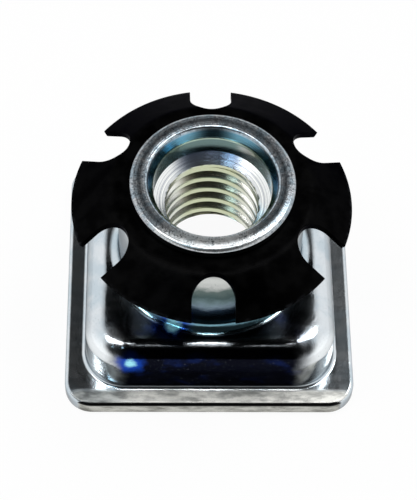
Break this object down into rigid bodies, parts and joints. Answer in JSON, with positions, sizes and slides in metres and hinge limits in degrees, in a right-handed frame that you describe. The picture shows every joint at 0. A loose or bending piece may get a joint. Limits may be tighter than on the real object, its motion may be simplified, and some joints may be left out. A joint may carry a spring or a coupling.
{
  "type": "square tube threaded insert",
  "caption": "Press-in end insert for square tube: drawn square cap with flange, sprung star washer and swaged threaded nut for a caster stem or levelling foot.",
  "frame": {"origin": "centre of the flange's underside, on the thread axis", "axes": "+Z along the thread axis from the flange towards the star washer; X and Y along the flange's sides"},
  "size_m": [0.0254, 0.0254, 0.0177],
  "materials": {
    "zinc_plate": "bright blue-white zinc plate on drawn steel",
    "black_oxide": "black oxide on spring steel, lightly oiled",
    "nut_zinc": "zinc plated, turned and swaged, with a yellow-green tint in the thread"
  },
  "bodies": {
    "root": {"cap_shell": "zinc_plate", "star_washer": "black_oxide", "threaded_nut": "nut_zinc"}
  },
  "joints": []
}
